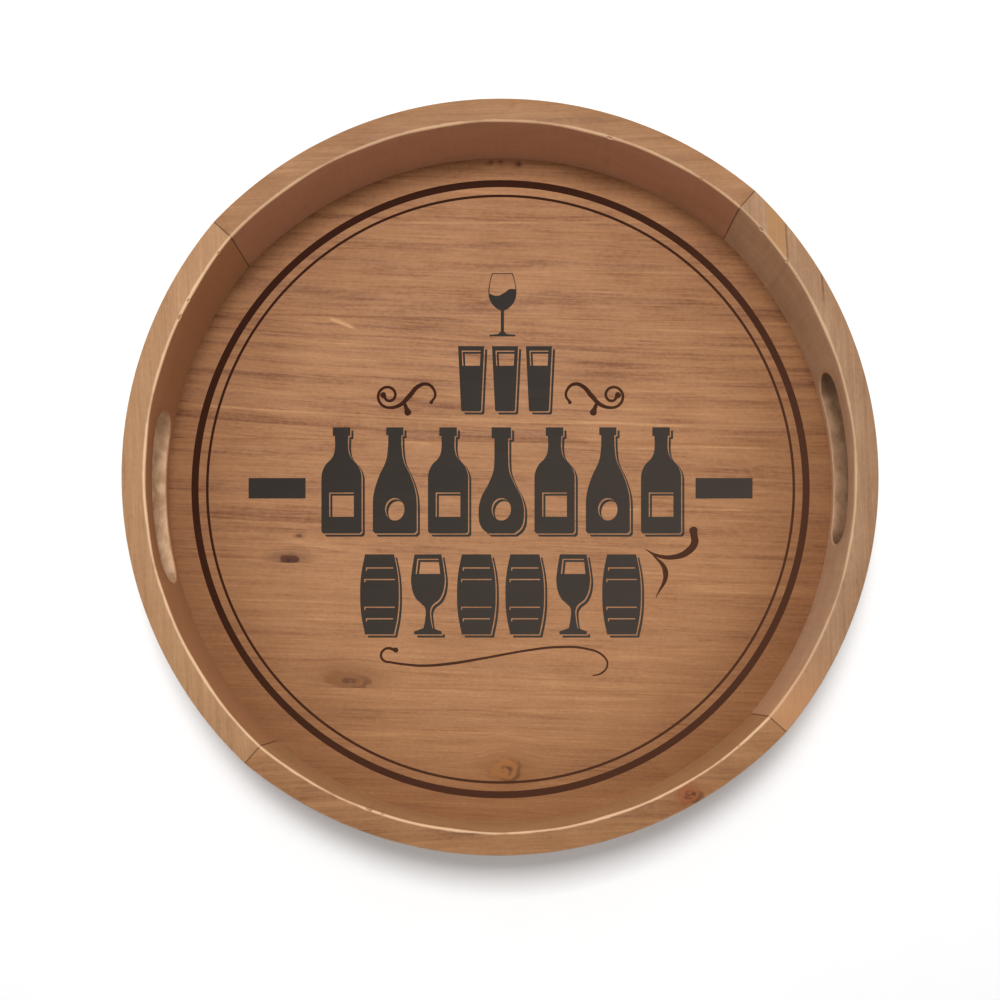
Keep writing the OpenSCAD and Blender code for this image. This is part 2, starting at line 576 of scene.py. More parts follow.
BARREL = [
    (0, 0), (7.8, 0), (9.8, 10.5, "round"), (10.4, 21.5, "round"), (9.8, 32.5, "round"),
    (7.8, 43.0), (0, 43.0)]
HOOPS = [[(0, y), (wide, y), (wide, y + 1.7), (0, y + 1.7)]
         for y, wide in ((7.0, 7.3), (13.2, 8.2), (28.1, 8.2), (34.3, 7.3))]
GOBLET = [
    (0, 0), (7.4, 0), (7.4, 1.6), (2.4, 3.4), (1.5, 8.0, "round"), (1.7, 14.5, "round"),
    (6.6, 19.5, "round"), (9.0, 27.5, "round"), (8.5, 35.0, "round"), (7.2, 43.0), (0, 43.0)]
GOBLET_GAP = [(0, 32.5), (6.6, 32.5), (5.7, 40.6), (0, 40.6)]

PICTURES = {
    "tumbler": [TUMBLER, TUMBLER_GAP],
    "tall_bottle": [TALL_BOTTLE, LABEL],
    "sloped_bottle": [SLOPED_BOTTLE, OVAL_LABEL],
    "flask_bottle": [FLASK_BOTTLE, OVAL_LABEL],
    "barrel": [BARREL] + HOOPS,
    "goblet": [GOBLET, GOBLET_GAP],
}
ROWS = {
    "print_tumblers": (2.4, 41.8, 18.2, ["tumbler"] * 3),
    "print_bottles": (0.4, -23.8, 28.6, [
        "tall_bottle", "sloped_bottle", "tall_bottle", "flask_bottle",
        "tall_bottle", "sloped_bottle", "tall_bottle"]),
    "print_barrels": (0.0, -78.0, 26.0, ["barrel", "goblet", "barrel"] * 2),
}
blanks = {name: with_drop_line(outline_blank(name, [mirrored(half) for half in halves]))
          for name, halves in PICTURES.items()}


def row(name, middle, low, pitch, pictures):
    """A row of copies of the pictures, evenly spaced about its middle."""
    copies = []
    for place, picture in enumerate(pictures):
        x = middle + (place - (len(pictures) - 1) / 2) * pitch
        copies.append(copy_of(blanks[picture], x * MM, low * MM))
    return press(join(copies, name), name)


prints += [row(name, *layout) for name, layout in ROWS.items()]
for blank in blanks.values():
    bpy.data.objects.remove(blank)

# %% [markdown]
# Over the rows stands one fine stemmed glass, half full, whose bowl is only a thin line. A bar
# closes the middle row on each side. They have no drop line, so their outlines are pressed as
# they are.

# %% The stemmed glass and the side bars
GLASS_OUT = mirrored([
    (0, 0), (7.0, 0), (7.0, 0.9), (2.4, 1.3), (0.85, 2.8), (0.85, 13.8), (3.4, 15.3, "round"),
    (6.4, 18.8, "round"), (7.5, 23.5, "round"), (7.1, 28.0, "round"), (5.6, 34.0), (0, 34.0)])
GLASS_IN = [
    (-7.0, 23.0), (-3.0, 21.8, "round"), (1.2, 23.6, "round"), (3.8, 25.4, "round"), (7.0, 25.4),
    (6.6, 28.6, "round"), (5.2, 33.5), (-5.2, 33.5), (-6.6, 28.6, "round")]
GLASS_PLACE = (1.0, 82.0)
BAR_HALF = (15.3, 5.5)
BAR_AWAY = 120.0


def rectangle(x, y, half_x, half_y):
    """A rectangle's outline about its middle."""
    return [(x + i * half_x, y + j * half_y) for i, j in ((-1, -1), (1, -1), (1, 1), (-1, 1))]


glass = outline_blank("print_glass", [moved(shape, *GLASS_PLACE) for shape in (GLASS_OUT, GLASS_IN)])
prints.append(press(glass, "print_glass"))
bars = outline_blank("print_bars", [rectangle(side * BAR_AWAY, 0.5, *BAR_HALF) for side in (-1, 1)])
prints.append(press(bars, "print_bars"))

# %% [markdown]
# A brushed line swells and thins as it goes. A Bezier curve with a round section and a radius
# at each point does that, and once it is a mesh it can be pressed flat like the other shapes.

# %% Scrolls and the long flourish
def brush_line(name, lines):
    """Tubes along Bezier lines whose points are (x, y, thickness in mm)."""
    curve = bpy.data.curves.new(name, "CURVE")
    curve.dimensions, curve.bevel_depth = "3D", 0.5 * MM
    curve.bevel_resolution, curve.resolution_u, curve.use_fill_caps = 2, 10, True
    for points in lines:
        spline = curve.splines.new("BEZIER")
        spline.bezier_points.add(len(points) - 1)
        for knot, (x, y, thick) in zip(spline.bezier_points, points):
            knot.co, knot.radius = (x * MM, y * MM, 0), thick
            knot.handle_left_type = knot.handle_right_type = "AUTO"
    return press(meshed(name, curve), name)


def with_drop(points, size):
    """Ends a line in a round drop of ink, straight ahead of its last two points."""
    (before_x, before_y, _), (x, y, _) = points[-2:]
    stretch = math.hypot(x - before_x, y - before_y)
    ahead_x, ahead_y = (x - before_x) / stretch, (y - before_y) / stretch
    swell = ((0.35, 0.85), (0.6, 1.0), (0.85, 0.9), (1.05, 0.4))
    return points + [(x + ahead_x * size * far, y + ahead_y * size * far, size * share)
                     for far, share in swell]


def curl(x, y, radius, start, turns, thick, drop):
    """Points that wind in round (x, y) and end in a drop."""
    steps = max(4, int(abs(turns) * 16))
    points = []
    for step in range(steps + 1):
        part = step / steps
        angle = start + turns * 2 * math.pi * part
        reach = radius * (1 - 0.66 * part)
        points.append((x + reach * math.cos(angle), y + reach * math.sin(angle), thick))
    return with_drop(points, drop)


SCROLL = [
    with_drop(
        list(reversed(curl(60.2, 50.2, 6.4, -math.pi / 2, 1.15, 1.5, 3.3)))
        + [(54.0, 45.2, 2.1), (48.8, 50.2, 2.6), (44.2, 55.2, 2.2), (39.4, 56.4, 1.8),
           (35.8, 53.4, 1.5), (35.2, 49.8, 1.4), (36.6, 47.6, 1.3)], 2.0),
    with_drop([(52.0, 47.2, 0.9), (51.2, 45.0, 2.0), (50.6, 43.4, 2.2)], 3.8)]
MIRROR_SCROLL = [[(-x, y, thick) for x, y, thick in line] for line in SCROLL]
HOOK = with_drop(
    [(-58.8, -93.0, 1.2), (-62.8, -92.0, 1.3), (-64.2, -89.2, 1.3), (-62.8, -86.4, 1.3),
     (-60.0, -85.4, 1.4), (-57.8, -86.0, 1.6)], 2.8)
FLOURISH = list(reversed(HOOK)) + [
    (-48.5, -94.4, 1.3), (-42.0, -94.8, 1.4), (-28.0, -93.8, 1.5), (-8.0, -90.6, 1.3),
    (13.0, -86.8, 1.2), (31.0, -84.8, 1.3), (45.5, -85.6, 1.2), (55.0, -89.4, 1.1),
    (57.4, -94.2, 1.0), (54.2, -98.8, 1.0), (49.4, -100.2, 0.6)]
TENDRIL = with_drop(
    [(77.5, -32.0, 0.3), (84.0, -35.6, 1.7), (93.5, -36.4, 2.7), (101.2, -33.0, 3.7),
     (104.3, -28.4, 4.0), (103.9, -25.0, 3.8)], 4.6)
TENDRIL_TWIG = [(81.0, -34.2, 0.3), (88.6, -44.5, 3.0), (83.4, -58.4, 0.3)]

prints.append(brush_line("print_scrolls", SCROLL + MIRROR_SCROLL))
prints.append(brush_line("print_flourish", [FLOURISH]))
prints.append(brush_line("print_tendril", [TENDRIL, TENDRIL_TWIG]))

# %% [markdown]
# ## Shader maths
# The wood is worked out in three dimensions, so that a ring that runs along a face turns the
# corner and comes out on the edge and on the end, as it does in real timber. That takes a
# good deal of arithmetic. Wire wraps a socket, so the arithmetic is written as Python writes
# it and each operation adds its Math node.

# %% Wires
def both_ways(operation):
    """A Math operation as two Python operators: wire with value, and value with wire."""
    return (lambda wire, other: wire.maths(operation, wire, other),
            lambda wire, other: wire.maths(operation, other, wire))


class Wire:
    """An output socket that takes part in sums, products and comparisons."""

    __add__, __radd__ = both_ways("ADD")
    __sub__, __rsub__ = both_ways("SUBTRACT")
    __mul__, __rmul__ = both_ways("MULTIPLY")
    __truediv__, __rtruediv__ = both_ways("DIVIDE")

    def __init__(self, tree, socket):
        self.tree, self.socket = tree, socket

    def maths(self, operation, *values, clamp=False):
        """One Math node on these values, which are wires or numbers."""
        node = self.tree.nodes.new("ShaderNodeMath")
        node.operation, node.use_clamp = operation, clamp
        for place, value in zip(node.inputs, values):
            feed(self.tree, place, value)
        return Wire(self.tree, node.outputs[0])

    def __abs__(self):
        return self.maths("ABSOLUTE", self)

    def part(self):
        """What is left of the value above the whole number below it."""
        return self.maths("FRACT", self)

    def root(self):
        """The square root."""
        return self.maths("SQRT", self)

    def wave(self):
        """The sine, from -1 to 1."""
        return self.maths("SINE", self)

    def most(self, other):
        """The larger of two values."""
        return self.maths("MAXIMUM", self, other)

    def held(self):
        """The value, kept from 0 to 1."""
        return self.maths("ADD", self, 0.0, clamp=True)


def distance(across, up):
    """How far away a point is whose two measures are these wires."""
    return (across * across + up * up).root()


def feed(tree, place, value):
    """Links a wire to an input, or sets the input to a plain value."""
    if isinstance(value, Wire):
        tree.links.new(value.socket, place)
    else:
        place.default_value = value


# %% [markdown]
# A finish starts as Blender's Principled shader. Every other node comes from one method, so a
# recipe reads as a list of what it does: noise, steps from one value to another, and blends of
# two colours. All of it is measured on the object itself, in mm, so a pattern stays on its wood.

# %% Nodes and colours
GRAIN_RELIEF = 0.10 * MM


class Finish:
    """A material under construction, with one method that adds any node."""

    def __init__(self, name):
        self.material = bpy.data.materials.new(name)
        self.material.use_nodes = True
        self.tree = self.material.node_tree
        self.shader = self.tree.nodes["Principled BSDF"]

    def node(self, kind, settings=None, inputs=None, output=0):
        """Adds a node, sets it up, feeds its inputs and gives back one of its outputs."""
        node = self.tree.nodes.new(kind)
        for name, value in (settings or {}).items():
            setattr(node, name, value)
        for name, value in (inputs or {}).items():
            feed(self.tree, node.inputs[name], value)
        return Wire(self.tree, node.outputs[output])

    def vector(self, x, y, z):
        """Three values as one vector."""
        return self.node("ShaderNodeCombineXYZ", inputs={"X": x, "Y": y, "Z": z})

    def noise(self, x, y, z, detail=2.0, rough=0.5):
        """Noise from about -1 to 1 at a point given in units of one blotch."""
        value = self.node("ShaderNodeTexNoise", inputs={
            "Vector": self.vector(x, y, z), "Scale": 1.0, "Detail": detail, "Roughness": rough})
        return value * 2.0 - 1.0

    def step(self, value, start, end):
        """Runs smoothly from 0 to 1 as the value goes from start to end."""
        return self.node("ShaderNodeMapRange", {"interpolation_type": "SMOOTHSTEP"}, {
            "Value": value, "From Min": start, "From Max": end})

    def blend(self, share, first, second, mode="MIX"):
        """Mixes two colours, each a wire or a plain colour."""
        node = self.tree.nodes.new("ShaderNodeMix")
        node.data_type, node.blend_type = "RGBA", mode
        feed(self.tree, node.inputs[0], share)
        feed(self.tree, node.inputs[6], first if isinstance(first, Wire) else (*first, 1.0))
        feed(self.tree, node.inputs[7], second if isinstance(second, Wire) else (*second, 1.0))
        return Wire(self.tree, node.outputs[2])

    def place(self):
        """The point's x, y and z on the object, in millimetres."""
        spot = self.node("ShaderNodeTexCoord", output=3)
        split = self.tree.nodes.new("ShaderNodeSeparateXYZ")
        feed(self.tree, split.inputs[0], spot)
        return [Wire(self.tree, output) * 1000.0 for output in split.outputs]

    def coat(self, colour, rough, shine=0.2, height=None, strength=0.6, relief=GRAIN_RELIEF):
        """Wires colour, roughness and relief to the shader, and gives back the material."""
        feed(self.tree, self.shader.inputs["Base Color"], colour)
        feed(self.tree, self.shader.inputs["Roughness"], rough)
        self.shader.inputs["Specular IOR Level"].default_value = shine
        if height is not None:
            bump = self.node("ShaderNodeBump", inputs={
                "Strength": strength, "Distance": relief, "Height": height})
            feed(self.tree, self.shader.inputs["Normal"], bump)
        return self.material


def stain(red, green, blue):
    """A colour given as a paint maker's 0 to 255 values, as light-linear shares."""
    shares = (value / 255 for value in (red, green, blue))
    return tuple(s / 12.92 if s <= 0.04045 else ((s + 0.055) / 1.055) ** 2.4 for s in shares)


# %% [markdown]
# ## Softwood
# Year rings are cylinders about the tree's pith. Pale early wood darkens slowly into a narrow
# band of late wood, and then the next ring starts at once. A board takes its figure from where
# it lay in the tree, so each has its own pith, a little off its length, and its own tone of
# stain. Round a knot the rings are pushed aside, and a resinous streak runs along the grain as
# a darker band. Both are made first, as masks.

# %% Knots and bands
KNOT_DEEP = 6.0


def knot(wood, spot, seed, where, size, squat, depth):
    """A knot: its mask, its swirl of dark and light, and how far it pushes the grain aside.

    The heart is a crisp oval of wavering rings with a dark crescent on its lower right side,
    and a soft glow of the same colour lies round it.
    """
    x, y = spot[0] - where[0], spot[1] - where[1]
    wobble = wood.noise(x / size * 0.6, y / size * 0.6, seed + 0.3) * 0.7
    away = distance(x / squat, y) / size + wobble
    near = 1.0 - wood.step(away, 0.0, 3.6)
    glow = 1.0 - wood.step(away, 0.8, 3.0)
    burr = wood.noise(x / size * 1.6, y / size * 2.4, seed + 9.4, detail=4.0, rough=0.7)
    body = 1.0 - wood.step(away + burr * 0.25, 0.6, 1.25)
    swirl = wood.step((away * 8.0 + burr * 1.6).wave() * 0.4 + burr * 1.6, -0.1, 0.8)
    crescent = 1.0 - wood.step(abs(away - 0.82 + burr * 0.15), 0.0, 0.34)
    shaded = wood.step(x / size / squat - y / size + burr * 1.2, -0.5, 1.2)
    dark = (swirl * 0.8).most(crescent * shaded) * body + (glow - glow * body) * 0.25
    return body.most(glow * 0.45) * depth, dark, y * near * near * 0.85


def grain_band(wood, along, across, where, slope, half, thick, strength, seed):
    """A stretch of darker (or, with a minus, paler) grain with a crisp lower edge."""
    x, y = along - where[0], across - where[1]
    drift = wood.noise(x / 45.0, seed, where[1]) * 1.1
    height = y - x * slope + drift
    crisp = wood.step(height, -0.35, 0.35)
    fade = 1.0 - wood.step(height, 0.2 * thick, thick)
    ends = 1.0 - wood.step(abs(x), 0.45 * half, half)
    return crisp * fade * ends * strength


# %% [markdown]
# The rings could be a Wave texture, but its bands are all alike. Here each ring has its own
# tone and fades along its length. Over the rings lie long fibres, fine dark flecks and the
# blotches that stain leaves in softwood, and their sum picks a colour from pale to dark.

# %% The wood recipe
def softwood(name, heading, top, pith, spacing, tone, seed, knots=(), bands=(), contrast=1.0,
             lean=0.02, bend=0.0, cloud=0.16, deepen=0.0):
    """A board's finish.

    heading is the angle of its grain, top the height in mm of the face that the knots start from,
    pith the tree's centre across and below the board in mm,
    spacing the width of a year ring in mm, and tone its three stain colours from pale to dark.
    A knot is its (x, y), radius, squatness, depth of colour, and its light and dark colours.
    A band is its place (along, across) the board, slope, half length, thickness and strength.
    The grain leans and bends along the board, cloud is how unevenly the stain took, and deepen
    darkens it all.
    """
    wood = Finish(name)
    x, y, z = wood.place()
    pale, middle, dark = tone
    turn_x, turn_y = math.cos(heading), math.sin(heading)
    along = x * turn_x + y * turn_y
    board_across = across = y * turn_x - x * turn_y

    hearts = []
    reached = 1.0 - wood.step(top - z, KNOT_DEEP, KNOT_DEEP * 2.5)
    for number, (*shape, colours) in enumerate(knots):
        mask, rings, push = knot(wood, (x, y), seed + number, *shape)
        hearts.append((mask * reached, rings, colours))
        across = across - push * turn_x
    across = across + along * lean + along * along * bend

    sway = wood.noise(along / 170.0, seed * 1.7, 0.5, detail=1.5)
    dip = wood.noise(along / 210.0, seed * 2.3, 7.5, detail=1.5)

    def layer(long, wide, shift, detail=2.0, rough=0.5):
        """Noise drawn out along the grain, whose blotches are long by wide, in mm."""
        return wood.noise(along / long, across / wide, z / wide + shift, detail=detail, rough=rough)

    ripple = layer(30.0, 10.0, seed, detail=3.0)
    side = across - pith[0] + sway * 6.0 + ripple * 0.7
    below = z - pith[1] + dip * 9.0 + ripple * 0.7
    ring_at = distance(side, below) / spacing
    ring_at = ring_at + wood.noise(ring_at * 0.31, seed, 1.1, detail=0.0) * 0.55
    ring_part = ring_at.part()
    late = wood.step(ring_part, 0.25, 0.92) * (1.0 - wood.step(ring_part, 0.93, 1.0))
    year = wood.noise(ring_at * 0.47, seed * 3.1, 4.2, detail=1.0)
    fade = wood.step(wood.noise(along / 70.0, across / 9.0, seed), -0.5, 0.5)

    band = layer(240.0, 13.0, seed)
    streak = layer(90.0, 3.0, -seed, detail=3.0)
    fibre = layer(40.0, 1.2, seed, detail=3.0, rough=0.6)
    hair = layer(15.0, 0.5, seed)
    blotch = layer(34.0, 22.0, seed * 1.3, detail=3.0)
    mottle = layer(2.6, 1.6, -seed)
    fleck = layer(2.6, 0.42, seed * 0.7, detail=1.0)
    fleck = wood.step(fleck, 0.42, 0.75)

    rings = late * (0.35 + fade * 0.65) * 0.20 + year * 0.11
    depth = (0.42 + (rings + streak * 0.26 + band * 0.22) * contrast
             + fibre * 0.29 + hair * 0.16 + blotch * cloud + mottle * 0.16)
    for number, choice in enumerate(bands):
        depth = depth + grain_band(wood, along, board_across, *choice, seed + number)
    depth = (depth + deepen).held()
    colour = wood.blend(wood.step(depth, 0.0, 0.55), pale, middle)
    colour = wood.blend(wood.step(depth, 0.45, 1.0), colour, dark)
    colour = wood.blend(fleck * 0.18, colour, dark)
    for mask, rings, colours in hearts:
        colour = wood.blend(mask, colour, wood.blend(rings, *colours))
    height = hair * 0.35 + fibre * 0.4 - late * 0.25 - fleck * 0.6
    rough = 0.56 + fibre * 0.05 + late * -0.04 + blotch * 0.03
    return wood, (x, y, z), colour, height, rough


def dress(piece, material):
    """Gives the piece this one material."""
    piece.data.materials.clear()
    piece.data.materials.append(material)


# %% [markdown]
# The rim's edges are rubbed and have lost their stain, so the pale wood shows in a line along
# the inner edge, lightened further as a painted highlight for the light the rounded edge catches.
# Inside the slots it was never stained at all; that raw wood is paler in the left slot and darker
# in the right one as painted light and shade, and the slots' round ends are darkened as painted
# shade. These masks could be painted on the mesh. They are worked out from the place on
# the tray instead, from the distance to the quarter's arc and to the slot, so they stay sharp.

# %% The rim's stains, marks and painted light and shade
# Each quarter's colours are partly its own stain and partly painted light and shade: the left quarter is
# paler and the front one darker, as a light from the upper left shows them.
RIM_TONES_AND_LIGHT = {
    "right": (stain(172, 135, 104), stain(149, 112, 81), stain(103, 68, 43)),
    "back": (stain(170, 125, 87), stain(147, 104, 69), stain(104, 66, 38)),
    "left": (stain(182, 141, 103), stain(162, 121, 84), stain(120, 82, 52)),
    "front": (stain(171, 125, 84), stain(148, 103, 66), stain(100, 62, 35)),
}
AMBER_KNOT = (stain(160, 104, 56), stain(72, 36, 14))
BURNT_KNOT = (stain(142, 84, 48), stain(60, 26, 12))
DEAD_KNOT = (stain(84, 40, 18), stain(30, 14, 8))
FAINT_KNOT = (stain(134, 86, 50), stain(88, 50, 26))
RIM_WOOD = {
    "right": dict(pith=(150.0, -70.0), spacing=6.5, seed=3.1, contrast=0.45, cloud=0.34, bands=(
        ((113.0, -150.6), 0.0, 26.0, 1.6, 0.5), ((92.0, -167.0), 0.06, 24.0, 1.4, 0.3),
        ((122.0, -141.0), 0.0, 22.0, 6.0, -0.14))),
    "back": dict(pith=(120.0, -90.0), spacing=7.5, seed=5.7, contrast=0.6, cloud=0.26,
                 knots=(((6.0, 187.0), 1.6, 1.0, 0.35, AMBER_KNOT),)),
    "left": dict(pith=(-140.0, -80.0), spacing=7.0, seed=8.3, contrast=0.6, cloud=0.22),
    "front": dict(pith=(-130.0, -85.0), spacing=6.8, seed=11.9, contrast=1.1, cloud=0.3,
                  knots=(((96.0, -160.0), 5.2, 1.35, 1.0, BURNT_KNOT),)),
}
HONEY = stain(166, 120, 72)
HONEY_FROM, HONEY_TO, HONEY_MIDDLE = 140.4, 149.4, 112.0
WARM_END = stain(190, 136, 92)
# A pale colour for rubbed edges that also stands for a painted highlight; its strength for each quarter
# follows.
WORN_AND_HIGHLIGHT = stain(226, 186, 148)
WEAR_AND_HIGHLIGHT = {"right": 0.5, "back": 0.6, "left": 0.9, "front": 0.85}
# Raw wood in the slots: the left slot's is much paler and the right slot's darker, as painted light and
# shade.
RAW_TONES_AND_LIGHT = {
    "right": (stain(120, 86, 58), stain(168, 130, 98)),
    "left": (stain(178, 134, 98), stain(240, 202, 164)),
}
# A dark brown for the dirt in the joints and for painted shade in the slots' hollow ends.
DIRT_AND_SHADE_TONE = stain(84, 58, 38)
SLOT_END_SHADE = {"right": 0.85, "left": 0.3}
# The inner faces' colours are partly stain and partly painted light and shade: the right face is pale as
# if lit from the left, and the back and left faces are darker as if in shade.
WALL_STAIN_AND_LIGHT = {
    "right": (stain(214, 173, 139), 0.65), "back": (stain(191, 138, 106), 0.8),
    "left": (stain(181, 127, 88), 0.75), "front": (stain(188, 142, 100), 0.7),
}


# %% [markdown]
# The masks are laid over the grain in this order: the warmer parts of the board itself, the inner
# face's colour, partly stain and partly painted light and shade, the dark joints, the raw wood of
# the slot, painted shade at the slot's ends, and last the rubbed edges with their painted highlight.

# %% The rim's finish
def rim_finish(index, name):
    """Softwood with worn edges that carry a painted highlight, and raw wood inside a slot, darkened at
    its ends by painted shade.
    """
    turn = RIM_TURN + index * math.pi / 2
    heading = turn + math.pi / 2
    wood, (x, y, z), colour, height, rough = softwood(
        f"{name}_quarter_wood", heading, RIM_TOP / MM, tone=RIM_TONES_AND_LIGHT[name], **RIM_WOOD[name])
    out = x * math.cos(turn) + y * math.sin(turn)
    side = y * math.cos(turn) - x * math.sin(turn)
    from_arc = distance(out + ARC_BACK / MM, side)
    inside = from_arc - ARC_IN / MM
    outside = ARC_OUT / MM - from_arc
    below = RIM_TOP / MM - z
    ragged = wood.noise(x / 7.0, y / 7.0, z / 7.0, detail=4.0, rough=0.7)
    inner_face = (1.0 - wood.step(inside, 0.2, 1.0)) * wood.step(below, 0.4, 1.6)
    if name == "right":
        stripe = (wood.step(out + ragged * 0.3, HONEY_FROM, HONEY_FROM + 0.8)
                  * (1.0 - wood.step(out, HONEY_TO, HONEY_TO + 0.8))
                  * (1.0 - wood.step(abs(side - HONEY_MIDDLE), 24.0, 36.0)) * (1.0 - inner_face))
        colour = wood.blend(stripe * (0.6 + ragged * 0.3), colour, HONEY)
        colour = wood.blend(wood.step(-1.0 * side, 96.0, 130.0) * 0.5, colour, WARM_END)
    # The pale edge line is partly rubbed wood and partly a painted highlight for the light that the
    # rounded edges catch.
    inner_edge_at = distance(inside, below) + ragged * 0.5
    outer_edge_at = distance(outside, below) + ragged * 0.6
    wear_and_highlight = (1.0 - wood.step(inner_edge_at, 0.55, 1.5)).most(
        (1.0 - wood.step(outer_edge_at, 0.3, 1.0)) * 0.3)
    # The inner face's colour is partly stain and partly painted light and shade, and differs for each
    # quarter.
    wall_colour, share = WALL_STAIN_AND_LIGHT[name]
    rubbed = wood.noise(side / 30.0, z / 12.0, 3.0 + index, detail=4.0, rough=0.6)
    drips = wood.noise(side / 2.4, z / 30.0, 8.0 + index, detail=3.0)
    colour = wood.blend((inner_face * (rubbed * 0.3 + drips * 0.16 + share)).held(), colour, wall_colour)
    if name == "right":
        colour = wood.blend(wood.step(-1.0 * side, 84.0, 130.0) * 0.35, colour, WARM_END)
    from_joint = (out - abs(side)) * math.sqrt(0.5)
    crack = 1.0 - wood.step(from_joint + ragged * 0.2, 0.15, 0.6)
    colour = wood.blend(crack * 0.6, colour, DIRT_AND_SHADE_TONE)
    if name in SLOT_SHIFT:
        straight = (SLOT_LONG - SLOT_HIGH) / 2 / MM
        slot_side = side - SLOT_SHIFT[name] / MM
        past = (abs(slot_side) - straight).most(0.0)
        rise = z - SLOT_MID / MM
        from_slot = distance(past, rise) - SLOT_HIGH / 2 / MM
        raw = 1.0 - wood.step(from_slot + ragged * 0.25, -0.05, 0.55)
        smear = wood.noise(x / 6.0, y / 9.0, z / 5.0, detail=4.0, rough=0.65)
        colour = wood.blend(raw * 0.85, colour, wood.blend(wood.step(smear, -0.5, 0.5), *RAW_TONES_AND_LIGHT[name]))
        # Painted shade in the slot's round ends, where the hollow falls dark, with darker patches over
        # the raw wood.
        slot_end_shade = wood.step(abs(slot_side) + smear * 5.0, straight - 1.0, straight + 7.0)
        slot_end_shade = slot_end_shade.most(wood.step(smear, 0.3, 0.7) * 0.4) * raw
        colour = wood.blend(slot_end_shade * SLOT_END_SHADE[name], colour, DIRT_AND_SHADE_TONE)
        # The slot's rims get the same pale line: partly rubbed wood, partly painted highlight.
        slot_edge = (1.0 - wood.step(abs(from_slot - 0.4), 0.0, 0.6)) * wood.step(ragged, -0.5, 0.4)
        wear_and_highlight = wear_and_highlight.most(slot_edge * 0.45)
    colour = wood.blend(wear_and_highlight * WEAR_AND_HIGHLIGHT[name], colour, WORN_AND_HIGHLIGHT)
    return wood.coat(colour, rough + wear_and_highlight * 0.08, height=height)


for index, name in enumerate(QUARTERS):
    dress(quarters[name], rim_finish(index, name))
print("rim finishes:", len(QUARTERS))

# %% [markdown]
# The five boards share one stain but not one tree. The list below gives each its own pith and
# seed, and the few marks a buyer would know it by: knots, dark streaks and pale ones. Towards the
# wall, most of all at the sides and the front, a darker colour is multiplied in over all the boards
# at once, as painted shade for the shade of the wall on the floor.

# %% The floor's finish
FLOOR_TONE = (stain(190, 140, 95), stain(161, 112, 73), stain(112, 64, 32))
FLOOR_WOOD = [
    dict(pith=(-150.0, -62.0), spacing=5.6, seed=21.3, contrast=0.6,
         knots=(((2.4, -150.4), 8.0, 1.3, 0.92, AMBER_KNOT),),
         bands=(((20.0, -117.7), 0.024, 90.0, 6.0, 0.12),
                ((-40.0, -132.6), 0.014, 70.0, 3.0, -0.1))),
    dict(pith=(-40.0, -120.0), spacing=6.2, seed=27.1, contrast=0.5, deepen=0.05,
         knots=(((-81.0, -102.4), 5.4, 2.1, 0.95, FAINT_KNOT),),
         bands=(((135.0, -54.1), -0.016, 45.0, 7.0, -0.2),
                ((-60.0, -70.8), 0.014, 80.0, 4.0, -0.08),
                ((40.0, -85.4), 0.024, 90.0, 3.5, 0.09))),
    dict(pith=(40.0, -90.0), spacing=6.4, seed=33.8, contrast=0.75, lean=0.03, deepen=0.08,
         knots=(((-113.0, -37.4), 3.0, 2.0, 1.0, DEAD_KNOT),
                ((-108.0, -24.6), 0.9, 1.8, 0.8, DEAD_KNOT)),
         bands=(((-120.0, -18.7), -0.026, 62.0, 6.0, 0.25),
                ((-92.0, -32.8), -0.126, 30.0, 5.0, -0.22),
                ((-140.0, -38.6), 0.0, 50.0, 3.0, 0.2),
                ((130.0, -35.2), -0.016, 46.0, 3.0, 0.18),
                ((105.0, 23.5), 0.014, 60.0, 2.0, -0.2),
                ((100.0, -9.6), 0.004, 48.0, 1.6, -0.2))),
    dict(pith=(20.0, -60.0), spacing=4.2, seed=38.4, contrast=1.0, lean=0.035, bend=-0.00015,
         deepen=0.12,
         bands=(((-140.0, 35.0), -0.061, 95.0, 7.5, 0.2),
                ((-120.0, 40.3), -0.046, 80.0, 1.6, -0.2),
                ((20.0, 36.3), -0.016, 110.0, 1.8, -0.22),
                ((120.0, 35.3), 0.004, 60.0, 1.5, -0.2),
                ((-86.0, 87.5), -0.35, 8.0, 2.8, -0.7))),
    dict(pith=(90.0, -70.0), spacing=5.2, seed=44.9, contrast=0.65, deepen=0.12,
         knots=(((-5.0, 176.0), 0.7, 1.2, 0.8, DEAD_KNOT), ((0.5, 176.2), 0.6, 1.2, 0.7, DEAD_KNOT),
                ((10.0, 174.8), 1.0, 1.2, 0.9, DEAD_KNOT)),
         bands=(((0.0, 143.0), 0.014, 120.0, 2.0, -0.22),
                ((-20.0, 145.5), 0.014, 130.0, 2.0, 0.14),
                ((30.0, 117.0), 0.014, 90.0, 1.6, -0.14))),
]
WALL_SHADE_TINT = (0.61, 0.54, 0.44)
for board, choices in zip(boards, FLOOR_WOOD):
    wood, (x, y, z), colour, height, rough = softwood(
        f"{board.name}_wood", BOARD_TURN, FLOOR_TOP / MM, tone=FLOOR_TONE, **choices)
    # Painted shade: the floor darkens towards the wall, more at the sides and the front.
    near_wall_shade = wood.step(distance(x, y), 105.0, 186.0)
    shade_weight = 0.36 + abs(x) / 300.0 - y / 620.0
    cloudy = wood.noise(x / 60.0, y / 26.0, 2.0) * 0.18
    colour = wood.blend((near_wall_shade * (shade_weight + cloudy)).held(), colour, WALL_SHADE_TINT, mode="MULTIPLY")
    dress(board, wood.coat(colour, rough, height=height))
print("floor finishes:", len(boards))

# %% [markdown]
# Screen ink sinks into softwood. It dries flat and nearly matt, a little thinner to one side,
# and the raised fibres rub through. So the ink's colour follows a noise stretched along the
# grain, with no gloss to speak of. The lines are a warm brown and the pictures a charcoal.

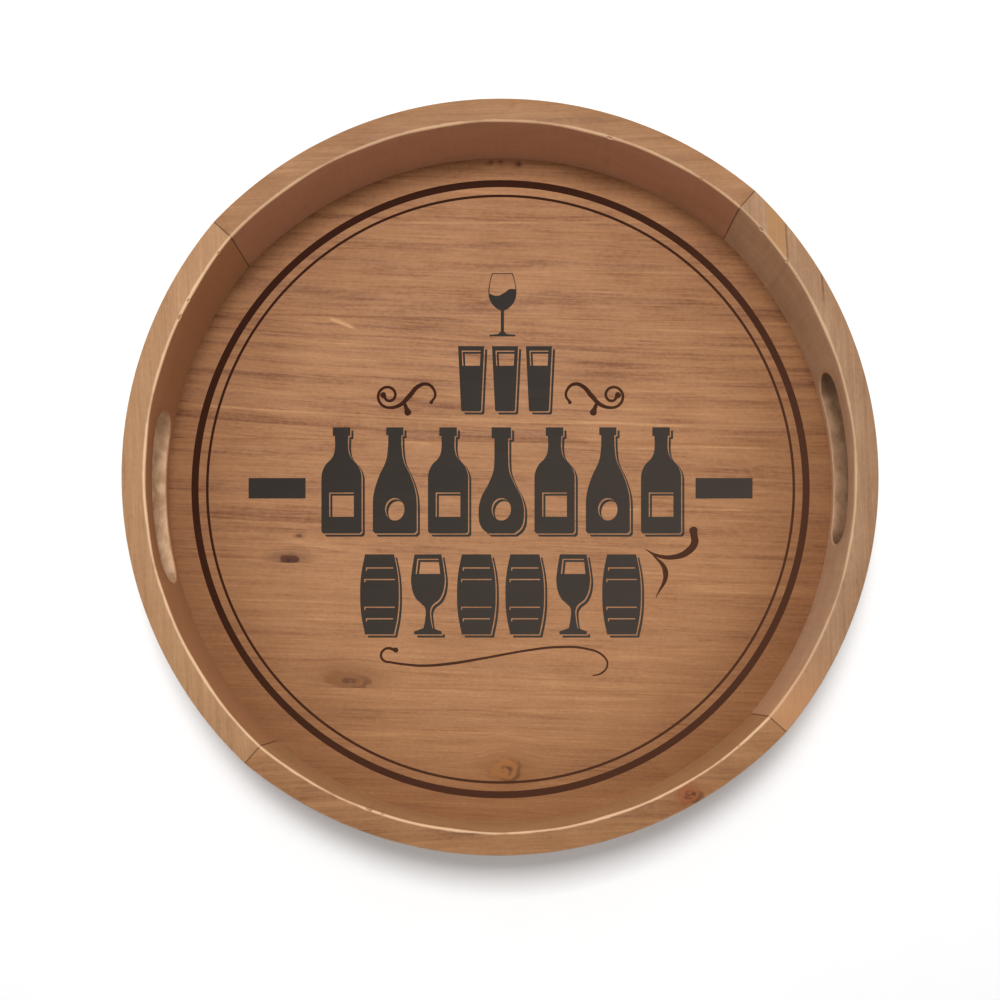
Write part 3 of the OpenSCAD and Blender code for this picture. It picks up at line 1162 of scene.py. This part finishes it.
# %% The ink's finish
RUBBED_THROUGH = stain(116, 82, 58)
INK_RELIEF = 0.06 * MM


def ink_finish(name, deep, thin):
    """Dark ink, thin enough for the grain to break through in places."""
    ink = Finish(name)
    x, y, z = ink.place()
    fibre = ink.noise(x / 30.0, y / 0.8, 3.3, detail=3.0, rough=0.6)
    wear = ink.noise(x / 26.0, y / 14.0, 8.1, detail=3.0)
    colour = ink.blend(ink.step(fibre * 0.5 + wear * 0.4 + (x - y) / 160.0, -1.2, 1.4), deep, thin)
    colour = ink.blend(ink.step(fibre + wear * 0.6, 0.6, 1.2) * 0.4, colour, RUBBED_THROUGH)
    return ink.coat(colour, 0.58 + fibre * 0.06, shine=0.03, height=fibre, strength=0.4,
                    relief=INK_RELIEF)


LINE_INK = ink_finish("brown_line_ink", stain(50, 24, 12), stain(74, 46, 32))
PICTURE_INK = ink_finish("charcoal_picture_ink", stain(49, 43, 39), stain(64, 57, 51))
PICTURE_FILMS = list(ROWS) + ["print_bars", "print_glass"]
for film in prints:
    dress(film, PICTURE_INK if film.name in PICTURE_FILMS else LINE_INK)
print("ink films:", len(prints))

# %% [markdown]
# The dowels sit inside the joints and the brads' heads show only from below, and their shapes
# in the frame are already right. So they stay as they are, and get a finish: pale beech with
# its short dark flecks, and drawn steel wire.

# %% The dowels and the brads
def dowel_finish():
    """Pale beech with short dark flecks."""
    beech = Finish("dowel_beech")
    x, y, z = beech.place()
    fleck = beech.noise(x / 1.2, y / 1.2, z / 0.5)
    cloud = beech.noise(x / 9.0, y / 9.0, z / 6.0)
    colour = beech.blend(beech.step(cloud, -0.7, 0.7), stain(226, 196, 152), stain(204, 168, 122))
    colour = beech.blend(beech.step(fleck, 0.3, 0.8) * 0.5, colour, stain(160, 116, 76))
    return beech.coat(colour, 0.6 + cloud * 0.04, height=fleck)


def brad_finish():
    """Bright wire steel, drawn lengthways and slightly dulled."""
    steel = Finish("brad_steel")
    x, y, z = steel.place()
    dull = steel.noise(x / 0.6, y / 0.6, z / 0.3, detail=3.0)
    colour = steel.blend(steel.step(dull, -0.5, 0.7), stain(178, 178, 174), stain(128, 124, 118))
    steel.shader.inputs["Metallic"].default_value = 1.0
    return steel.coat(colour, 0.38 + dull * 0.1, shine=0.5)


BEECH = dowel_finish()
STEEL = brad_finish()
for node_name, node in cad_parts.items():
    if node_name.startswith("dowels"):
        dress(node, BEECH)
    elif node_name == "floor_brads":
        dress(node, STEEL)
print("finishes on the frame's own pieces:", BEECH.name, STEEL.name)

# %% [markdown]
# ## The stage
# A wide pale floor, a bright even sky and one large soft light, high up behind the tray and a
# little to the left. The back wall's inner face looks away from it, so it falls dark beside the
# floor and the rim, and the tray's own shadow comes out in front.

# %% Floor, sky and lights
bpy.ops.mesh.primitive_plane_add(size=12, location=(0, 0, -0.05 * MM))
ground = settle(bpy.context.active_object, "stage_floor")
paper = Finish("stage_paper")
px, py, pz = paper.place()
grain = paper.noise(px / 40.0, py / 40.0, 0.0)
white = paper.blend(paper.step(grain, -1.0, 1.0), (0.965, 0.965, 0.965), (0.98, 0.98, 0.98))
dress(ground, paper.coat(white, 0.9, shine=0.1))

world = bpy.data.worlds.new("studio_sky")
world.use_nodes = True
sky = world.node_tree.nodes["Background"].inputs
sky["Color"].default_value = (1.0, 1.0, 1.0, 1.0)
sky["Strength"].default_value = 0.48
bpy.context.scene.world = world


def soft_light(name, place, aim, size, power):
    """A square area light at a place, turned to its aim."""
    lamp = bpy.data.lights.new(name, "AREA")
    lamp.size, lamp.energy = size, power
    holder = new_object(name, lamp)
    holder.location = place
    holder.rotation_euler = (Vector(aim) - Vector(place)).to_track_quat("-Z", "Y").to_euler()


soft_light("key_light", place=(-0.05, 0.40, 1.30), aim=(0, 0, 0), size=0.45, power=14.2)
print("light: key_light, from behind")

# %% [markdown]
# ## The camera
# The camera looks straight down on the open tray from close by, from over its front edge, and
# its picture is shifted so that the tray stays in the middle. That is why the back wall shows
# more of its inner face than the front one.

# %% Camera
CAMERA_PLACE = (0, -98.1 * MM, 577.6 * MM)
camera_data = bpy.data.cameras.new("camera")
camera_data.lens = 38.05
camera_data.sensor_width = 36.0
camera_data.shift_y = 0.1726
camera = new_object("camera", camera_data)
camera.location = CAMERA_PLACE
bpy.context.scene.camera = camera
bpy.context.scene.view_settings.view_transform = "Standard"
print("camera at", CAMERA_PLACE)
